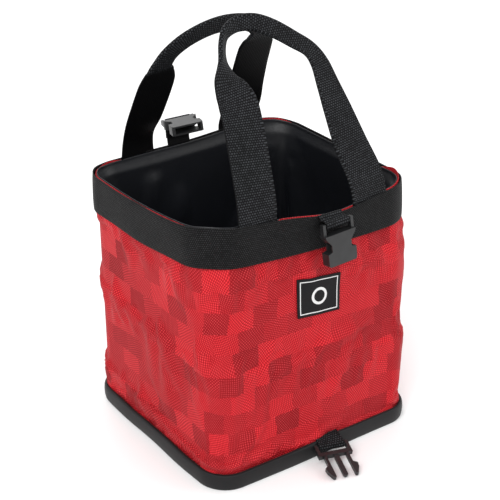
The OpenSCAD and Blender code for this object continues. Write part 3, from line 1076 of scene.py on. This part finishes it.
BACK_STATIONS = [
    (-53.8, 10, 36.5, 1.4, -8, 0),
    (-53.8, 32, 38.5, 1.4, -2, 0),
    (-53.4, 58, 38.5, 1.4, 0, 0),
    (-53.2, 80, 37.5, 1.4, 0, 0),
    (-53.6, 89, 35, 1.5, -2, 0),
    (-53.9, 96, 29.5, 2.2, -2, 0),
    (-54, 103, 22, 3.6, 0, 0),
    (-49.5, 116.5, 19.5, 4.2, 0, 0),
    (-37.5, 129.5, 20, 4.2, 0, 0),
    (-20, 138.8, 20, 4.2, 0, 0),
    (-2, 142.5, 19.5, 4.2, 0, 0),
    (18, 141, 18, 4.2, 0, 0),
    (35, 134, 18, 4.2, 0, 0),
    (43.5, 126, 19, 4.2, 0, 0),
    (45.8, 118, 26, 3, 0, 0),
    (46, 111, 35, 1.8, 0, 0),
    (46.7, 104, 38, 1.4, 0, 0),
    (50, 78, 38.5, 1.4, -2, 0),
    (55, 50, 38, 1.4, -6, 0),
    (59, 30, 37.5, 1.4, -12, 0),
    (60.5, 10, 37, 1.4, -16, 0),
]
handle_piece("front_handle", -1, 29, ((-61.5, 0), (58.5, 0)), FRONT_STATIONS)
handle_piece("back_handle", 1, 30, ((-53.5, -8), (60, -14)), BACK_STATIONS)

# ---- tabs


def chaikin(points, times=3):
    """Rounds the corners of an open path by cutting them."""
    p = np.array(points, float)
    for _ in range(times):
        q, r = p[:-1] * 0.75 + p[1:] * 0.25, p[:-1] * 0.25 + p[1:] * 0.75
        middle = np.stack([q, r], 1).reshape(-1, p.shape[1])
        p = np.r_[p[:1], middle[1:-1], p[-1:]]
    return p


def tab_piece(name, ends_node, root, end, bar, bar_axis, away):
    """Webbing from its sewn root, down the side that faces away, round the bar and back to end."""
    r = 2.5 * MM
    across = np.array([1.0, 0, 0])
    start = np.array(root[-1])
    back = (start + end) / 2 - bar
    back -= bar_axis * (back @ bar_axis)
    back /= np.linalg.norm(back)
    normal = np.cross(bar_axis, back)
    normal *= np.sign(normal @ away)
    rows = [[*p, *across] for p in root]

    def put(place, turn):
        rows.append([*place, *(across * (1 - turn) + bar_axis * turn)])

    front = bar + normal * r + back * 3 * MM
    rear = bar - normal * r + back * 3 * MM
    put(start * 0.75 + front * 0.25 + normal * 0.5 * MM, 0.1)
    put(start * 0.4 + front * 0.6 + normal * 0.5 * MM, 0.5)
    put(front, 0.9)
    for a in np.radians(np.arange(0, 181, 30)):
        put(bar + normal * r * 1.05 * math.cos(a) - back * r * 1.05 * math.sin(a), 1)
    put(rear, 0.9)
    put(end * 0.4 + rear * 0.6, 0.5)
    put(end, 0)
    rows = chaikin(rows)
    path, side = rows[:, :3], rows[:, 3:]
    face = np.cross(np.gradient(path, axis=0), side)
    obj = tape(name + "_webbing", path, side, face, TAB_W, TAB_T, across=10)
    dress(obj, WEBBING, replaces=[name, ends_node])
    hinge = place_of(name + "_fold")
    towards = (bar - hinge) / np.linalg.norm(bar - hinge)
    start, end = tuple(hinge - towards * 1 * MM), tuple(hinge + towards * 4 * MM)
    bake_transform(obj)
    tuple(start)
    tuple(end)


def build_tabs():
    for name, side in (
        ("front_socket_tab", -1),
        ("back_socket_tab", 1),
        ("front_plug_tab", -1),
        ("back_plug_tab", 1),
    ):
        swivel = name.replace("_tab", "_swivel")
        hinge, bar = place_of(name + "_fold"), place_of(swivel)
        bar_axis = np.array(JOINTS[swivel]["axis"])
        bar_axis = bar_axis * np.sign(bar_axis[0])
        out = np.array([0, side, 0]) * MM
        up = np.array([0, 0, 1]) * MM
        if "plug" in name:
            foot = np.array([hinge[0], side * abs(hinge[1]), 0])
            root = [foot + up * 4 - out * 0.4, foot + up * 13 - out * 0.2]
            root += [foot + up * 16.6 + out * 0.4, hinge + out * 1.6 + up * 0.6]
            end, away = hinge + out * 2.4 - up * 1.4, out / MM + 0.6 * up / MM
        else:
            root = [at_rim(side, hinge[0], drop * MM, WEB_GROW) for drop in (16, 6, 1)]
            if side < 0:
                # over the rim's edge and down outside the band
                top = root[-1]
                root += [top + up * 1.9 + out * 0.5, top + up * 2.1 + out * 2.4]
                root.append(top - up * 1.5 + out * 4.3)
                end, away = top - up * 5 + out * 3, out / MM
            else:
                root.append(hinge + up * 1)
                end, away = hinge + out * 1.4 + up * 1.5, -out / MM
        parent, ends = ("base", "plug_tab_ends") if "plug" in name else ("rim", "socket_tab_ends")
        tab_piece(name, ends, root, end, bar, bar_axis, away)


build_tabs()

# ---- label


def build_label():
    """Woven patch, laid on the wall's own shape."""
    # corners across and up the front; the cloth pulls the patch a little out of square
    corners = np.array([[(-20.5, 145.5), (23.8, 141.3)], [(-22.8, 184.8), (24.6, 178.6)]]) * MM
    cols, rows = 30, 24
    verts, uv = [], []
    for lift in (1.5 * MM, 0.7 * MM):
        for r in range(rows):
            for c in range(cols):
                a, b = c / (cols - 1), r / (rows - 1)
                low, high = corners[:, 0] * (1 - a) + corners[:, 1] * a
                x, z = low * (1 - b) + high * b
                verts.append(on_wall(FRONT_MID + x, z) + np.array([0, -lift, 0]))
                uv.append((LABEL_W * (a - 0.5), LABEL_H * (b - 0.5)))
    verts = np.array(verts)
    # a stiff patch evens out the folds under it
    grid = verts.reshape(2, rows, cols, 3)
    for _ in range(14):
        y = grid[:, :, :, 1]
        pad = np.pad(y, ((0, 0), (1, 1), (1, 1)), mode="edge")
        around = pad[:, :-2, 1:-1] + pad[:, 2:, 1:-1] + pad[:, 1:-1, :-2] + pad[:, 1:-1, 2:]
        y[:] = np.minimum(y, around / 4)
    n = rows * cols
    faces = []
    for r in range(rows - 1):
        for c in range(cols - 1):
            a = r * cols + c
            faces.append((a, a + 1, a + cols + 1, a + cols))
            faces.append(tuple(n + k for k in (a + 1, a, a + cols, a + cols + 1)))
    index = np.arange(n).reshape(rows, cols)
    edge = [*index[0, :-1], *index[:-1, -1], *index[-1, :0:-1], *index[:0:-1, 0]]
    for i, a in enumerate(edge):
        b = edge[(i + 1) % len(edge)]
        faces.append((b, a, n + a, n + b))
    uvs = [uv[i] for f in faces for i in f]
    obj = new_object("label_patch_cloth", verts, faces, uvs)
    dress(obj, LABEL, replaces=["label_patch"])
    fold_with_rim(obj)


build_label()

# ---- spring


def build_spring():
    """Steel wire helix between the cloth layers, and a vinyl cap on each end."""
    grow = (WALL_GROW + LINING_GROW) / 2
    per_turn, sides = 96, 10
    rings = []
    path = []
    for t in np.linspace(0, SPRING_TURNS, int(SPRING_TURNS * per_turn) + 1):
        s = ((0.5 - t) % 1.0) * GIRTH
        z = SPRING_LOW + WIRE_R + (SPRING_HIGH - SPRING_LOW - 2 * WIRE_R) * t / SPRING_TURNS
        ring, normal = loft(grow, z)
        col = np.interp(s, RIM_S[:-1], np.arange(COLS))
        c = int(col) % COLS
        f = col - int(col)
        n = (c + 1) % COLS
        p = ring[c] * (1 - f) + ring[n] * f
        out = normal[c] * (1 - f) + normal[n] * f
        path.append(p)
        a = np.linspace(0, 2 * np.pi, sides, endpoint=False)
        rings.append(p + np.outer(np.cos(a), out) * WIRE_R + np.outer(np.sin(a), (0, 0, 1)) * WIRE_R)
    path = np.array(path)
    u = np.linspace(0, 6.3 * MM, sides + 1)
    wire = sweep("pop_up_spring_wire", np.array(rings), u, lengths_along(path))
    dress(wire, STEEL, replaces=["pop_up_spring"])
    fold_with_rim(wire)
    for name, end, nxt, body in (
        ("spring_end_cap_low", path[0], path[1], "base"),
        ("spring_end_cap_high", path[-1], path[-2], "rim"),
    ):
        build_cap(name, end, nxt, body)


def build_cap(name, end, nxt, body):
    """Round cap over a wire end. nxt is the wire's next point, further in."""
    along = (nxt - end) / np.linalg.norm(nxt - end)
    out = np.cross(along, (0, 0, 1))
    out /= np.linalg.norm(out)
    up = np.cross(out, along)
    # (place along the wire, radius), in millimetres
    stations = [(-2.2, 0.2), (-2.0, 0.8), (-1.4, 1.25), (0, 1.4), (6.4, 1.4), (7, 1.3)]
    sides = 16
    a = np.linspace(0, 2 * np.pi, sides, endpoint=False)
    rings = [
        end + along * t * MM + (np.outer(np.cos(a), out) + np.outer(np.sin(a), up)) * r * MM
        for t, r in stations
    ]
    u, v = np.linspace(0, 8 * MM, sides + 1), np.array([t for t, _ in stations]) * MM
    cap = sweep(name, np.array(rings), u, v)
    dress(cap, VINYL, body, ["spring_end_caps"])


build_spring()

# ---- buckles and board


def finish_nodes():
    """Materials for the CAD pieces that are kept, and small rounded edges on the buckles."""
    parts = ("socket", "plug", "plug_left_arm", "plug_right_arm")
    buckles = [f"{end}_{part}" for end in ("front", "back") for part in parts]
    for node in (*buckles, "base_board"):
        obj = frame["nodes"][node]
        paint(obj, BUCKLE if node in buckles else BOARD)
        if node in buckles:
            bevel(obj, 0.45 * MM)


finish_nodes()

# ---- stage


def aim_at(obj, place, target):
    """Puts a light or the camera at a place, turned to look at target."""
    obj.location = place
    obj.rotation_euler = (target - obj.location).to_track_quat("-Z", "Y").to_euler()


def build_stage():
    bpy.ops.mesh.primitive_plane_add(size=8, location=(0, 0, -0.2 * MM))
    floor = bpy.context.object
    floor.name = "floor"
    m = Nodes("pale_floor", Roughness=0.9, Base_Color=(0.9, 0.9, 0.9, 1), Specular_IOR_Level=0.1)
    paint(floor, m.mat)
    world = bpy.data.worlds.new("studio")
    bpy.context.scene.world = world
    world.use_nodes = True
    background = world.node_tree.nodes["Background"]
    background.inputs["Color"].default_value = (1, 1, 1, 1)
    background.inputs["Strength"].default_value = 0.9
    for name, place, size, power in (
        ("key", (-1.5, -1.05, 1.6), 1.2, 35),
        ("fill", (1.6, -1.0, 1.0), 1.4, 12),
        ("back", (0.3, 1.8, 1.6), 1.2, 14),
    ):
        light = bpy.data.lights.new(name, "AREA")
        light.energy = power
        light.size = size
        aim_at(add_object(name, light), Vector(place), Vector((0, 0, 0.15)))


def build_camera():
    azimuth, elevation = math.radians(-35.33), math.radians(24.55)
    distance = 1.109
    target = Vector((0, 0, 0.180))
    level = math.cos(elevation)
    away = Vector((math.sin(azimuth) * level, -math.cos(azimuth) * level, math.sin(elevation)))
    cam = bpy.data.cameras.new("camera")
    cam.sensor_width = 36
    cam.lens = 86.3
    cam.shift_x, cam.shift_y = 0.00662, -0.02884
    cam.clip_start = 0.05
    obj = add_object("camera", cam)
    aim_at(obj, target + away * distance, target)
    bpy.context.scene.camera = obj


build_stage()
build_camera()
bpy.context.scene.view_settings.view_transform = "Standard"
